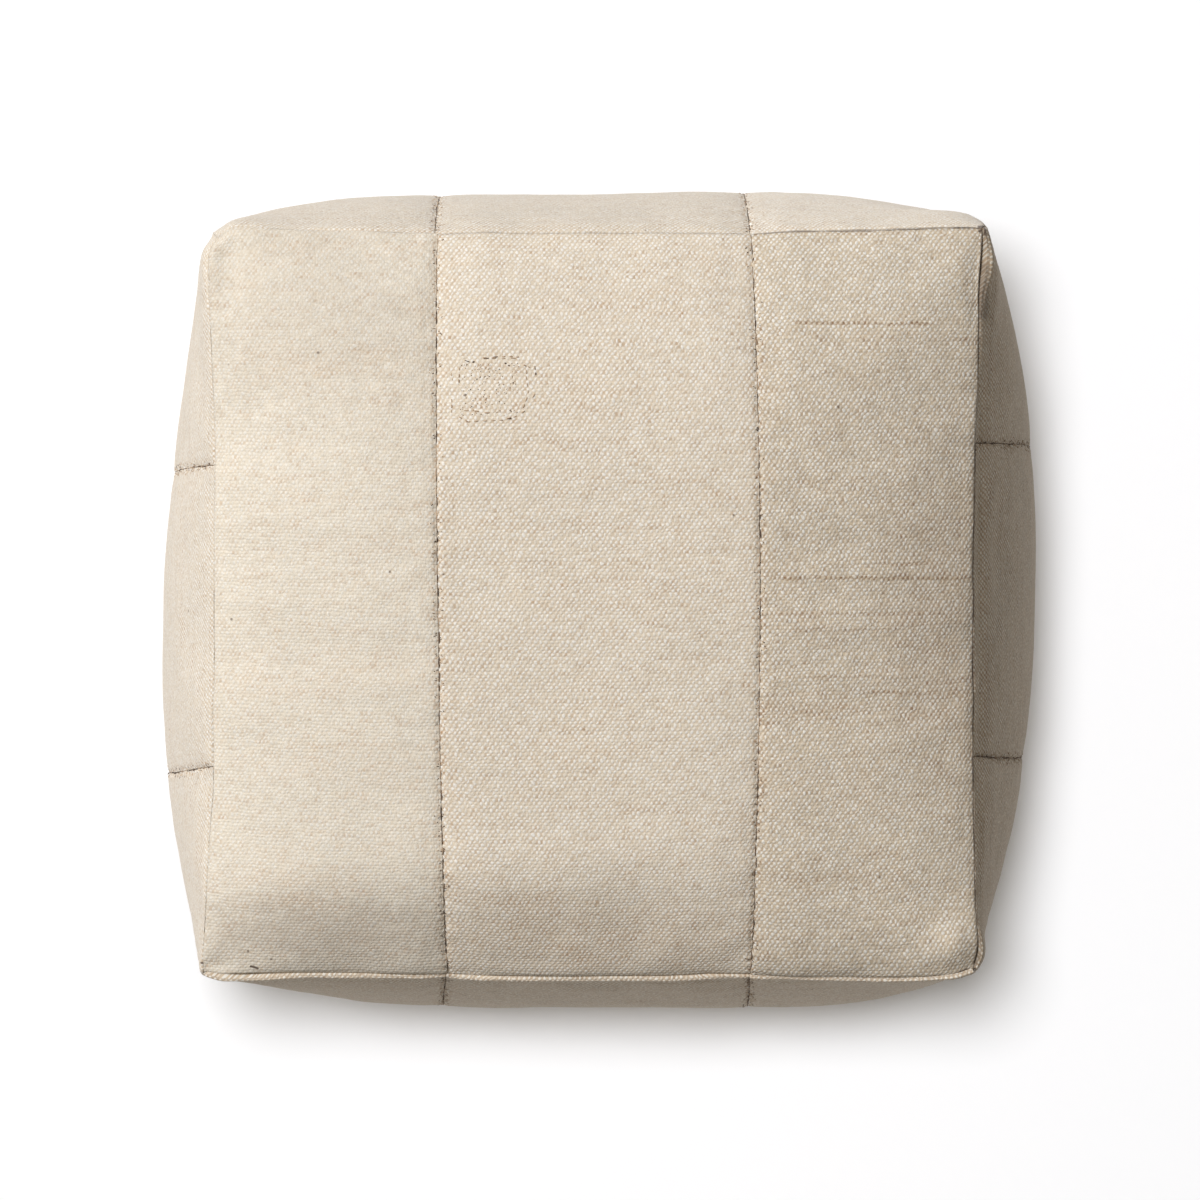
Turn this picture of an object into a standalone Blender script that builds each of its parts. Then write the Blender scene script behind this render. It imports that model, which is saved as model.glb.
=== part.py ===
"""Cube pouf stool: a cube of handwoven cloth, sewn from strips and packed full.

Each of the six panels is pieced from three strips of cloth, eighteen in all. A strip is one
solid: its crowned cloth face with the filling behind it, which narrows to the middle of the
cube, so the eighteen strips stand together as one filled body with no hollow. The panels pull
in at their seams, the sides bow out, and the base is flat where it stands.

Metres. +X is the right, +Y the back and +Z up. The origin is on the floor, under the middle.
"""

import math

import bmesh
import bpy
from mathutils import Vector

# Corners, where three panels meet: place to the right, to the back, and height. The filling
# has sunk a little towards the front left.
TOP_CORNER_HEIGHT = 0.424
BASE_CORNER_HEIGHT = 0.019
CORNERS = {
    "front_left_top": Vector((-0.2260, -0.2120, TOP_CORNER_HEIGHT - 0.012)),
    "front_right_top": Vector((0.2145, -0.2090, TOP_CORNER_HEIGHT - 0.003)),
    "back_right_top": Vector((0.2180, 0.2115, TOP_CORNER_HEIGHT)),
    "back_left_top": Vector((-0.2230, 0.2110, TOP_CORNER_HEIGHT)),
    "front_left_base": Vector((-0.2200, -0.2100, BASE_CORNER_HEIGHT)),
    "front_right_base": Vector((0.2190, -0.2090, BASE_CORNER_HEIGHT)),
    "back_right_base": Vector((0.2190, 0.2100, BASE_CORNER_HEIGHT)),
    "back_left_base": Vector((-0.2200, 0.2100, BASE_CORNER_HEIGHT)),
}

# Sewn edges: the two corners, then how far the middle of the edge stands off the straight
# line between them, to the right, to the back and up.
EDGES = {
    ("front_left_top", "back_left_top"): Vector((0.0060, 0.0, 0.012)),
    ("front_right_top", "back_right_top"): Vector((-0.0040, 0.0, 0.004)),
    ("back_left_top", "back_right_top"): Vector((0.0, -0.0030, 0.008)),
    ("front_left_top", "front_right_top"): Vector((0.0, -0.0040, -0.004)),
    ("front_left_base", "back_left_base"): Vector((0.0040, 0.0, -0.004)),
    ("front_right_base", "back_right_base"): Vector((-0.0040, 0.0, -0.004)),
    ("back_left_base", "back_right_base"): Vector((0.0, -0.0040, -0.004)),
    ("front_left_base", "front_right_base"): Vector((0.0, 0.0040, -0.004)),
    ("front_left_base", "front_left_top"): Vector((-0.0110, -0.0100, 0.0)),
    ("front_right_base", "front_right_top"): Vector((0.0030, -0.0110, 0.0)),
    ("back_right_base", "back_right_top"): Vector((0.0110, 0.0110, 0.0)),
    ("back_left_base", "back_left_top"): Vector((-0.0090, 0.0100, 0.0)),
}

# Panels. Each starts at the first of its four corners; across runs to the second corner and
# along to the fourth. Crown is how far the filling pushes the cloth out past its seams, peak
# the place of that fullest point, and fullness how square the swell is either side of it.
# Joins give the two places across where strips meet, at the panel's start, middle and end,
# and lumps how far round its wave the filling's unevenness starts, across and along.
PANELS = {
    "top": {
        "corners": ("front_left_top", "front_right_top", "back_right_top", "back_left_top"),
        "out": Vector((0, 0, 1)),
        "strips": ("left", "centre", "right"),
        "crown": 0.0265,
        "across": {"peak": 0.46, "fullness": (4.6, 3.2)},
        "along": {"peak": 0.52, "fullness": (6.0, 4.2)},
        "joins": ((0.316, 0.297, 0.298), (0.707, 0.715, 0.699)),
        "lumps": (0.48, 0.95),
    },
    "base": {
        "corners": ("back_left_base", "back_right_base", "front_right_base", "front_left_base"),
        "out": Vector((0, 0, -1)),
        "strips": ("left", "centre", "right"),
        "crown": 0.0252,
        "across": {"peak": 0.50, "fullness": (4.0, 4.0)},
        "along": {"peak": 0.50, "fullness": (4.0, 4.0)},
        "joins": ((0.295, 0.295, 0.300), (0.705, 0.705, 0.700)),
        "lumps": (0.64, 0.27),
    },
    "front": {
        "corners": ("front_left_base", "front_right_base", "front_right_top", "front_left_top"),
        "out": Vector((0, -1, 0)),
        "strips": ("left", "centre", "right"),
        "crown": 0.0237,
        "across": {"peak": 0.57, "fullness": (3.6, 5.6)},
        "along": {"peak": 0.46, "fullness": (2.6, 2.4)},
        "joins": ((0.305, 0.308, 0.314), (0.705, 0.712, 0.706)),
        "lumps": (0.80, 0.59),
    },
    "back": {
        "corners": ("back_right_base", "back_left_base", "back_left_top", "back_right_top"),
        "out": Vector((0, 1, 0)),
        "strips": ("right", "centre", "left"),
        "crown": 0.0257,
        "across": {"peak": 0.48, "fullness": (4.6, 4.4)},
        "along": {"peak": 0.46, "fullness": (2.6, 2.4)},
        "joins": ((0.300, 0.312, 0.302), (0.715, 0.708, 0.706)),
        "lumps": (0.15, 0.77),
    },
    "left": {
        "corners": ("back_left_base", "front_left_base", "front_left_top", "back_left_top"),
        "out": Vector((-1, 0, 0)),
        "strips": ("back", "centre", "front"),
        "crown": 0.0357,
        "across": {"peak": 0.57, "fullness": (2.0, 2.2)},
        "along": {"peak": 0.46, "fullness": (2.4, 2.2)},
        "joins": ((0.320, 0.326, 0.318), (0.720, 0.735, 0.722)),
        "lumps": (0.42, 0.31),
    },
    "right": {
        "corners": ("front_right_base", "back_right_base", "back_right_top", "front_right_top"),
        "out": Vector((1, 0, 0)),
        "strips": ("front", "centre", "back"),
        "crown": 0.0417,
        "across": {"peak": 0.465, "fullness": (2.3, 2.8)},
        "along": {"peak": 0.46, "fullness": (2.4, 2.2)},
        "joins": ((0.290, 0.284, 0.286), (0.700, 0.706, 0.708)),
        "lumps": (0.86, 0.12),
    },
}

# Folds, tucks and dimples that the sewing and the filling leave beside the corners and seams.
# Place and half size are in metres on the panel, across and along; a height below 0 sinks.
FOLDS = (
    {"panel": "right", "place": (0.396, 0.399), "half": (0.026, 0.005), "height": 0.0042},
    {"panel": "top", "place": (0.437, 0.391), "half": (0.004, 0.024), "height": -0.0030},
    {"panel": "top", "place": (0.012, 0.400), "half": (0.008, 0.016), "height": -0.0030},
    {"panel": "top", "place": (0.424, 0.011), "half": (0.010, 0.004), "height": 0.0030},
    {"panel": "top", "place": (0.008, 0.006), "half": (0.008, 0.004), "height": -0.0030},
    {"panel": "top", "place": (0.175, 0.012), "half": (0.040, 0.006), "height": -0.0014},
    {"panel": "right", "place": (0.010, 0.392), "half": (0.009, 0.010), "height": 0.0030},
    {"panel": "left", "place": (0.030, 0.396), "half": (0.020, 0.006), "height": 0.0020},
    {"panel": "left", "place": (0.400, 0.390), "half": (0.010, 0.012), "height": -0.0022},
    {"panel": "front", "place": (0.020, 0.394), "half": (0.014, 0.008), "height": 0.0024},
    {"panel": "front", "place": (0.250, 0.380), "half": (0.060, 0.010), "height": 0.0014},
    {"panel": "back", "place": (0.200, 0.392), "half": (0.050, 0.008), "height": 0.0016},
)

# Corners are rounded: this far in towards the middle of the cube, fading within the reach.
ROUNDING = {
    "front_left_top": 0.0030,
    "front_right_top": 0.0050,
    "back_right_top": 0.0010,
    "back_left_top": 0.0050,
    "front_left_base": 0.0050,
    "front_right_base": 0.0050,
    "back_right_base": 0.0050,
    "back_left_base": 0.0050,
}
ROUNDING_REACH = 0.0100

# Rolled edges: the cloth swells up beside a seam by this much, within about this distance.
EDGE_SWELL = 0.0016
EDGE_SWELL_REACH = 0.0022

# Joins between strips lie in a shallow valley.
JOIN_DEPTH = 0.0010
JOIN_REACH = 0.0032

# The front panel's upper edge rolls outwards and up over its seam as a narrow lip, which curls
# a little way round both front corners. Place is where along the seam the lip is fullest, half
# how far it runs from there, both in metres, and push how far it stands off the flat cloth.
LIPS = {
    "front": {"place": 0.220, "half": 2.0, "push": Vector((0.0, -0.0022, 0.0017))},
    "right": {"place": 0.002, "half": 0.017, "push": Vector((0.0018, 0.0, 0.0018))},
    "left": {"place": 0.419, "half": 0.009, "push": Vector((-0.0022, 0.0, 0.0014))},
}
LIP_FROM_SEAM = 0.0019
LIP_REACH = 0.0015

# Lumps of the filling are gentle waves: their height, and how many cross a panel each way.
LUMP_HEIGHT = 0.0013
LUMPS_ACROSS = 1.7
LUMPS_ALONG = 1.3

# Cloth strips stay this far inside the seam on each side, so neighbours nearly touch.
SEAM_CLEARANCE = 0.0002

# The filling behind a strip narrows to this share of its size at the middle of the cube.
MIDDLE = Vector((0, 0, 0.220))
TIP_SHARE = 0.04
TIP_CLEARANCE = 0.0006

# Grid lines of a strip lie closer together beside the seams, at these distances from them.
LINES_BY_SEAM = (0.0, 0.0012, 0.0027, 0.0060, 0.0120, 0.0240)
LINE_SPACING_ACROSS = 0.027
LINE_SPACING_ALONG = 0.030

# Creases sharper than this stay crisp in the smooth shading.
CREASE_ANGLE = math.radians(50)

# Cloth: undyed, with the right-hand strips a little browner.
CREAM = (0.66, 0.60, 0.50, 1)
CREAM_SHADED = (0.60, 0.53, 0.43, 1)
BROWNER_STRIPS = {
    "top_strip_right",
    "right_strip_front",
    "right_strip_centre",
    "right_strip_back",
}
CLOTH_ROUGHNESS = 0.92


def edge_bow(start, end):
    """How far the middle of the edge between two corners stands off the straight line."""
    return EDGES.get((start, end)) or EDGES[(end, start)]


def edge_point(start, end, share):
    """A point on a sewn edge, from its start corner at 0 to its end corner at 1."""
    straight = CORNERS[start].lerp(CORNERS[end], share)
    return straight + edge_bow(start, end) * math.sin(math.pi * share)


def panel_size(panel):
    """Length of the panel across its strips and along them, corner to corner."""
    first, second, _, fourth = (CORNERS[name] for name in panel["corners"])
    return (second - first).length, (fourth - first).length


def swell(share, shape):
    """How full the panel is at a share of its length, 1 at its peak and 0 at its seams."""
    peak = shape["peak"]
    before, after = shape["fullness"]
    if share < peak:
        return 1 - ((peak - share) / peak) ** before
    return 1 - ((share - peak) / (1 - peak)) ** after


def bell(distance, reach):
    """A soft bump, 1 at its middle and nearly 0 at twice its reach."""
    return math.exp(-((distance / reach) ** 2))


def join_share(join, along):
    """Where a join between strips crosses the panel, from its share at start, middle and end."""
    start, middle, end = join
    straight = start + (end - start) * along
    bend = middle - (start + end) / 2
    return straight + bend * 4 * along * (1 - along)


def seams_across(panel, along):
    """The two outer seams and the two joins, as shares across the panel, in order."""
    first_join, second_join = panel["joins"]
    return (0.0, join_share(first_join, along), join_share(second_join, along), 1.0)


def stretched_cloth(panel, across, along):
    """A point of the cloth pulled flat between the panel's four sewn edges."""
    first, second, third, fourth = panel["corners"]
    between_ends = edge_point(first, second, across).lerp(edge_point(fourth, third, across), along)
    between_sides = edge_point(first, fourth, along).lerp(edge_point(second, third, along), across)
    low = CORNERS[first].lerp(CORNERS[second], across)
    high = CORNERS[fourth].lerp(CORNERS[third], across)
    return between_ends + between_sides - low.lerp(high, along)


def lumps(panel, across, along):
    """The filling's unevenness at a place on the panel, from -1 to 1."""
    start_across, start_along = panel["lumps"]
    wave_across = math.sin(math.tau * (LUMPS_ACROSS * across + start_across))
    wave_along = math.sin(math.tau * (LUMPS_ALONG * along + start_along))
    return wave_across * wave_along


def fold_height(panel_name, across, along):
    """Height of the small folds and dimples at a place on the panel, in metres."""
    height = 0.0
    for fold in FOLDS:
        if fold["panel"] == panel_name:
            off_across = bell(across - fold["place"][0], fold["half"][0])
            off_along = bell(along - fold["place"][1], fold["half"][1])
            height += fold["height"] * off_across * off_along
    return height


def rounded(point):
    """The point with the rounding of the corners near it."""
    for name, depth in ROUNDING.items():
        nearness = bell((point - CORNERS[name]).length, ROUNDING_REACH)
        point = point + (MIDDLE - point).normalized() * depth * nearness
    return point


def lip_push(panel_name, across, below_seam):
    """How far the rolled lip of an upper edge stands off the cloth there, as a vector."""
    lip = LIPS.get(panel_name)
    if lip is None:
        return Vector((0, 0, 0))
    near_seam = bell(below_seam - LIP_FROM_SEAM, LIP_REACH)
    return lip["push"] * near_seam * bell(across - lip["place"], lip["half"])


def cloth_point(panel_name, across, along):
    """A point of the filled panel's cloth face, from its shares across and along."""
    panel = PANELS[panel_name]
    width, length = panel_size(panel)
    fullness = swell(across, panel["across"]) * swell(along, panel["along"])
    to_side = min(across, 1 - across) * width
    to_end = min(along, 1 - along) * length
    side_rise = 1 - math.exp(-to_side / EDGE_SWELL_REACH)
    end_rise = 1 - math.exp(-to_end / EDGE_SWELL_REACH)
    height = panel["crown"] * fullness + EDGE_SWELL * side_rise * end_rise
    for join in panel["joins"]:
        off_join = (across - join_share(join, along)) * width
        height -= JOIN_DEPTH * bell(off_join, JOIN_REACH) * end_rise
    height += LUMP_HEIGHT * lumps(panel, across, along) * fullness
    height += fold_height(panel_name, across * width, along * length) * side_rise
    point = stretched_cloth(panel, across, along) + panel["out"] * height
    point += lip_push(panel_name, across * width, (1 - along) * length)
    point = rounded(point)
    point.z = max(point.z, 0.0)
    return point


def grid_lines(length, spacing):
    """Distances of a strip's grid lines: close beside both seams and evenly spread between."""
    near = LINES_BY_SEAM[-1]
    steps = max(2, round((length - 2 * near) / spacing))
    middle = [near + (length - 2 * near) * step / steps for step in range(1, steps)]
    far = [length - line for line in reversed(LINES_BY_SEAM)]
    return [*LINES_BY_SEAM, *middle, *far]


def strip_point(panel_name, number, across, along):
    """A point of one strip, from its shares between its own two seams and its two ends."""
    panel = PANELS[panel_name]
    width, length = panel_size(panel)
    clear = SEAM_CLEARANCE / length
    panel_along = clear + (1 - 2 * clear) * along
    seams = seams_across(panel, panel_along)
    start = seams[number] + SEAM_CLEARANCE / width
    end = seams[number + 1] - SEAM_CLEARANCE / width
    return cloth_point(panel_name, start + (end - start) * across, panel_along)


def cloth_face(mesh, panel_name, number):
    """Adds a strip's cloth face: a grid whose points are laid on the filled panel."""
    panel = PANELS[panel_name]
    width, length = panel_size(panel)
    seams = seams_across(panel, 0.5)
    strip_width = (seams[number + 1] - seams[number]) * width
    lines_across = grid_lines(strip_width, LINE_SPACING_ACROSS)
    lines_along = grid_lines(length, LINE_SPACING_ALONG)
    columns = len(lines_across) - 1
    rows = len(lines_along) - 1
    bmesh.ops.create_grid(mesh, x_segments=columns, y_segments=rows, size=0.5)
    for vertex in mesh.verts:
        column = round((vertex.co.x + 0.5) * columns)
        row = round((vertex.co.y + 0.5) * rows)
        across = lines_across[column] / strip_width
        along = lines_along[row] / length
        vertex.co = strip_point(panel_name, number, across, along)


def back_with_filling(mesh, towards):
    """Closes the solid: walls run in from the strip's edge and narrow to the cube's middle."""
    tip = MIDDLE + towards * TIP_CLEARANCE
    rim = [edge for edge in mesh.edges if edge.is_boundary]
    walls = bmesh.ops.extrude_edge_only(mesh, edges=rim)["geom"]
    for vertex in (item for item in walls if isinstance(item, bmesh.types.BMVert)):
        vertex.co = tip.lerp(vertex.co, TIP_SHARE)
    inner_rim = [edge for edge in mesh.edges if edge.is_boundary]
    tip_face = bmesh.ops.contextual_create(mesh, geom=inner_rim)["faces"]
    bmesh.ops.poke(mesh, faces=tip_face)
    bmesh.ops.recalc_face_normals(mesh, faces=mesh.faces[:])


def cloth_material(name, colour):
    """Matt handwoven cloth."""
    material = bpy.data.materials.new(name)
    material.use_nodes = True
    shader = material.node_tree.nodes["Principled BSDF"]
    shader.inputs["Base Color"].default_value = colour
    shader.inputs["Roughness"].default_value = CLOTH_ROUGHNESS
    shader.inputs["Metallic"].default_value = 0.0
    material.diffuse_color = colour
    return material


def cloth_strip(panel_name, number):
    """One strip of a panel as a closed solid object, named after its panel and its place."""
    name = f"{panel_name}_strip_{PANELS[panel_name]['strips'][number]}"
    solid = bmesh.new()
    cloth_face(solid, panel_name, number)
    middle = strip_point(panel_name, number, 0.5, 0.5)
    back_with_filling(solid, (middle - MIDDLE).normalized())
    mesh = bpy.data.meshes.new(name)
    solid.to_mesh(mesh)
    solid.free()
    mesh.shade_smooth()
    mesh.set_sharp_from_angle(angle=CREASE_ANGLE)
    colour = CREAM_SHADED if name in BROWNER_STRIPS else CREAM
    mesh.materials.append(cloth_material(f"{name}_cloth", colour))
    strip = bpy.data.objects.new(name, mesh)
    bpy.context.scene.collection.objects.link(strip)


def build():
    """The whole pouf: three strips on each of the six panels."""
    for old in list(bpy.data.objects):
        bpy.data.objects.remove(old)
    for panel_name, panel in PANELS.items():
        for number in range(len(panel["strips"])):
            cloth_strip(panel_name, number)


build()
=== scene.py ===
"""The cube pouf dressed: handwoven cloth strips, hand-sewn joins, a darn on the top, soft light.

Each strip's cloth starts as a copy of its solid's face. It is turned back into rows and columns,
rounded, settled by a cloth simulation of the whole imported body, drawn in where it is sewn, and
closed behind with its filling. Metres throughout.
"""

import math
import random

import bmesh
import bpy
import numpy as np
from mathutils import Matrix, Vector, kdtree


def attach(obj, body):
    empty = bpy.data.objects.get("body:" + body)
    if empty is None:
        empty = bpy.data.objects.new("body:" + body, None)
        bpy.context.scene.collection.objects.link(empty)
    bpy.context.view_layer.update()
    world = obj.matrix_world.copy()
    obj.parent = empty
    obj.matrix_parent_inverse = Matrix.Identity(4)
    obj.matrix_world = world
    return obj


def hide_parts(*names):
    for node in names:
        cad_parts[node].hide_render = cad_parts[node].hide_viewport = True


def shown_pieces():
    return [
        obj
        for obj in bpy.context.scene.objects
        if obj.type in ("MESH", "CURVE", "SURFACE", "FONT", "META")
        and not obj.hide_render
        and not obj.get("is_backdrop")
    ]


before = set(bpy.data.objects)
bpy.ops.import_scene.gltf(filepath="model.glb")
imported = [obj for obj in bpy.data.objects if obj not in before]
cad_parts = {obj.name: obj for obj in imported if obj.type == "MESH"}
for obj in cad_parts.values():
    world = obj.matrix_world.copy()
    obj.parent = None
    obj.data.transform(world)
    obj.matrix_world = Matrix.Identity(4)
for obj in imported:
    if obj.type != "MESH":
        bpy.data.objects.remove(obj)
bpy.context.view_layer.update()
bpy.ops.object.select_all(action="DESELECT")

# ---------------------------------------------------------------- sizes and places

# Panels: which way their strips lie side by side, which way the strips run, and their names.
PANELS = {
    "top": {"across": (1, 0, 0), "along": (0, 1, 0), "strips": ("left", "centre", "right")},
    "base": {"across": (1, 0, 0), "along": (0, -1, 0), "strips": ("left", "centre", "right")},
    "front": {"across": (1, 0, 0), "along": (0, 0, 1), "strips": ("left", "centre", "right")},
    "back": {"across": (-1, 0, 0), "along": (0, 0, 1), "strips": ("right", "centre", "left")},
    "left": {"across": (0, -1, 0), "along": (0, 0, 1), "strips": ("back", "centre", "front")},
    "right": {"across": (0, 1, 0), "along": (0, 0, 1), "strips": ("front", "centre", "back")},
}

# The filling behind each strip narrows to the middle of the cube.
MIDDLE = Vector((0, 0, 0.220))
TIP_REACH = 0.03
TIP_SHARE = 0.06

# Cloth is cut into rows this fine along the strips, so that the sewing can gather it.
ROUNDING_LEVELS = 2
FINEST_ROW = 0.0013
ON_EDGE = 1e-5

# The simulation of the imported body.
BODY_VOXEL = 0.006
BODY_CLOTH = {
    "use_pressure": True,
    "uniform_pressure_force": 3.0,
    "quality": 5,
    "mass": 0.3,
    "tension_stiffness": 60,
    "compression_stiffness": 40,
    "shear_stiffness": 15,
    "bending_stiffness": 1.0,
    "shrink_min": -0.005,
    "shrink_max": 0.022,
}
SEWN_REACH = 0.012
FLOOR_REACH = 0.004
LAST_FRAME = 20
LARGEST_SHIFT = 0.0035
SETTLED_SHARE = {"top": 0.28, "base": 0.0, "front": 0.30, "back": 0.30, "left": 0.30, "right": 0.30}

# The camera looks straight down, as the photo does, from this height and with this lens (in mm).
CAMERA_HEIGHT = 3.03
CAMERA_LENS = 138.05

# Weave: from one warp thread to the next, and from one weft thread to the next.
WARP_PITCH = 0.00149
WEFT_PITCH = 0.00198
# The spin of the thread makes the grains join up to the right more than to the left.
RISING_SHARE = 0.62

# Sewing along the joins: running stitches in the join, and clusters of short whip stitches beside
# it. Lengths are the least, the most and the usual one, and thicknesses the least and the most.
SEWING_SEED = 41
STITCH_PITCH = 0.0050
RUNNING_STITCH = (0.0026, 0.0100, 0.0042)
RUNNING_GAP = (0.0004, 0.0026, 0.0007)
RUNNING_THICKNESS = (0.00040, 0.00075)
RUNNING_DARK_SHARE = 0.66
WHIP_STITCH = (0.0006, 0.0024, 0.0011)
WHIP_REACH = (0.0004, 0.0042, 0.0012)
WHIP_SPACING = (0.003, 0.013, 0.006)
WHIP_THICKNESS = (0.00032, 0.00060)
WHIP_DARK_SHARE = 0.45
WHIPS_IN_CLUSTER = (1, 2, 3, 4, 6)
# Towards the top's front end and the sides' upper end the clusters are crowded.
CROWDED_END = 0.022
WHIPS_CROWDED = (3, 5, 7)

# How far each cloth's edge moves towards its neighbour's where a seam hardly shows. That is above
# this height, and farther than this from the middle: to the left, or to the front or the back.
SEAM_CLOSING = 0.00017
CLOSED_ABOVE = 0.36
LEFT_SEAM_BEYOND = 0.20
END_SEAMS_BEYOND = 0.19

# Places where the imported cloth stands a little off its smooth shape: the middle of each, how far
# it reaches and how it shifts the cloth.
HAND_SHAPED = (
    # the back left corner is pushed round
    ((-0.221, 0.210, 0.421), (0.0085, 0.0085, 0.020), (0.0014, -0.0014, -0.0008)),
    ((-0.225, 0.213, 0.380), (0.0100, 0.0100, 0.055), (0.0026, -0.0026, 0.0)),
    ((-0.227, 0.195, 0.395), (0.009, 0.013, 0.040), (-0.0014, 0.0, 0.0)),
    ((-0.205, 0.2130, 0.395), (0.015, 0.009, 0.040), (0.0, 0.0024, 0.0)),
    # hollow inside the back seam and the back of the left seam, and the flat behind it
    ((-0.160, 0.199, 0.430), (0.060, 0.010, 0.050), (0.0, 0.0, -0.0030)),
    ((-0.209, 0.180, 0.430), (0.009, 0.030, 0.050), (0.0, 0.0, -0.0020)),
    ((-0.150, 0.168, 0.440), (0.080, 0.028, 0.050), (0.0, 0.0, 0.0030)),
    # the filling stands up behind the front seam, and the cloth falls from it
    ((-0.070, -0.156, 0.440), (0.150, 0.030, 0.050), (0.0, 0.0, 0.0050)),
    ((0.150, -0.190, 0.430), (0.050, 0.018, 0.050), (0.0, 0.0, 0.0025)),
    ((0.200, -0.194, 0.425), (0.012, 0.010, 0.050), (0.0, 0.0, 0.0028)),
    # the right seam is drawn in to a thin lip, but stands out at its two ends
    ((0.2185, -0.005, 0.425), (0.0042, 0.130, 0.009), (-0.0030, 0.0, -0.0012)),
    ((0.2245, 0.180, 0.415), (0.008, 0.022, 0.020), (0.0034, 0.0, 0.0022)),
    ((0.2190, 0.178, 0.423), (0.0050, 0.024, 0.008), (-0.0034, 0.0, -0.0008)),
    # the front seam runs out towards its right end, and both ends of the front stand full
    ((0.165, -0.2085, 0.421), (0.085, 0.014, 0.030), (0.0, -0.0041, 0.0)),
    ((-0.224, -0.209, 0.400), (0.022, 0.022, 0.040), (-0.0015, -0.0020, 0.0)),
    # the back and the right panel stand full beside the tucked corner
    ((0.208, 0.216, 0.375), (0.024, 0.014, 0.030), (0.0, 0.0046, 0.0)),
    ((0.236, 0.150, 0.360), (0.020, 0.055, 0.060), (0.0018, 0.0, 0.0)),
    ((0.2155, -0.198, 0.418), (0.006, 0.012, 0.012), (0.0015, 0.0, 0.0010)),
)


# ---------------------------------------------------------------- handling of objects


def select_only(piece):
    """Makes one object the selected and active one."""
    bpy.ops.object.select_all(action="DESELECT")
    piece.select_set(True)
    bpy.context.view_layer.objects.active = piece


def put_in_scene(name, data):
    """A new object with this mesh, lamp or camera, in the scene."""
    piece = bpy.data.objects.new(name, data)
    bpy.context.scene.collection.objects.link(piece)
    return piece


def finish_with(piece, kind, **settings):
    """Adds a modifier and applies it."""
    select_only(piece)
    modifier = piece.modifiers.new(kind.title(), kind)
    for name, value in settings.items():
        setattr(modifier, name, value)
    bpy.ops.object.modifier_apply(modifier=modifier.name)


def opened(piece):
    """A copy of a piece's mesh to work on."""
    mesh = bmesh.new()
    mesh.from_mesh(piece.data)
    return mesh


def write_back(mesh, data):
    """Ends the work on a mesh, and keeps what it has become."""
    mesh.to_mesh(data)
    mesh.free()


def read_rows(items, name, width):
    """One property of all the items, a row of numbers each."""
    values = np.empty(len(items) * width, np.float32)
    items.foreach_get(name, values)
    return values.reshape(-1, width).astype(float)


def points_of(mesh):
    """The places of a mesh's points."""
    return read_rows(mesh.vertices, "co", 3)


def move_points(mesh, places):
    """Gives a mesh's points new places."""
    mesh.vertices.foreach_set("co", places.astype(np.float32).ravel())
    mesh.update()


def move_above_floor(piece, places):
    """Gives a piece's points new places, and keeps them from sinking into the floor."""
    places[:, 2] = np.maximum(places[:, 2], 0.0)
    move_points(piece.data, places)


def normals_of(mesh):
    """The outward direction at each of a mesh's points."""
    return read_rows(mesh.vertex_normals, "vector", 3)


def search_tree(places):
    """A tree that finds the nearest of these places."""
    tree = kdtree.KDTree(len(places))
    for number, place in enumerate(places):
        tree.insert(place, number)
    tree.balance()
    return tree


# ---------------------------------------------------------------- strips of cloth


def rim_neighbours(vertex):
    """The two points beside an edge point, along the strip's edge."""
    return [edge.other_vert(vertex) for edge in vertex.link_edges if edge.is_boundary]


def rim_round(mesh, across, along):
    """The strip's edge points in order, from its first corner on, across it first."""
    rim = [vertex for vertex in mesh.verts if vertex.is_boundary]
    start = min(rim, key=lambda vertex: vertex.co.dot(across) + vertex.co.dot(along))
    loop = [start, max(rim_neighbours(start), key=lambda vertex: vertex.co.dot(across))]
    while start not in rim_neighbours(loop[-1]) or len(loop) == 2:
        loop.append(next(other for other in rim_neighbours(loop[-1]) if other is not loop[-2]))
    return loop


def grid_size(mesh, loop):
    """How many columns and rows of quads the strip has, from its points, or None."""
    both = len(loop) // 2
    product = len(mesh.verts) - both - 1
    root = math.isqrt(max(0, both * both - 4 * product))
    if root * root != both * both - 4 * product:
        return None
    return (both - root) // 2, (both + root) // 2


def grid_map(mesh, loop, columns):
    """Turns the triangles back into quads, and maps the strip by its rows and columns."""
    corner = len(loop) - (len(loop) // 2 - columns)
    rows = [loop[: columns + 1]]
    for start in reversed(loop[corner:]):
        below, row = rows[-1], [start]
        for column in range(1, len(below)):
            beside = {edge.other_vert(row[-1]) for edge in row[-1].link_edges}
            above = {edge.other_vert(below[column]) for edge in below[column].link_edges}
            row.append((beside & above - {below[column - 1]}).pop())
        rows.append(row)
    diagonals = []
    for below, above in zip(rows, rows[1:]):
        for column in range(columns):
            rising = mesh.edges.get((below[column], above[column + 1]))
            falling = mesh.edges.get((above[column], below[column + 1]))
            diagonals.append(rising or falling)
    bmesh.ops.dissolve_edges(mesh, edges=diagonals)
    grid = np.array([[vertex.co for vertex in row] for row in rows])
    steps_across = np.linalg.norm(np.diff(grid, axis=1), axis=2).mean(axis=0)
    steps_along = np.linalg.norm(np.diff(grid, axis=0), axis=2).mean(axis=1)
    columns_at = np.concatenate([[0], np.cumsum(steps_across)])
    rows_at = np.concatenate([[0], np.cumsum(steps_along)])
    place = {}
    for row_at, row in zip(rows_at, rows):
        place.update({vertex: (column_at, row_at) for column_at, vertex in zip(columns_at, row)})
    return place, columns_at[-1], rows_at[-1]


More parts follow.
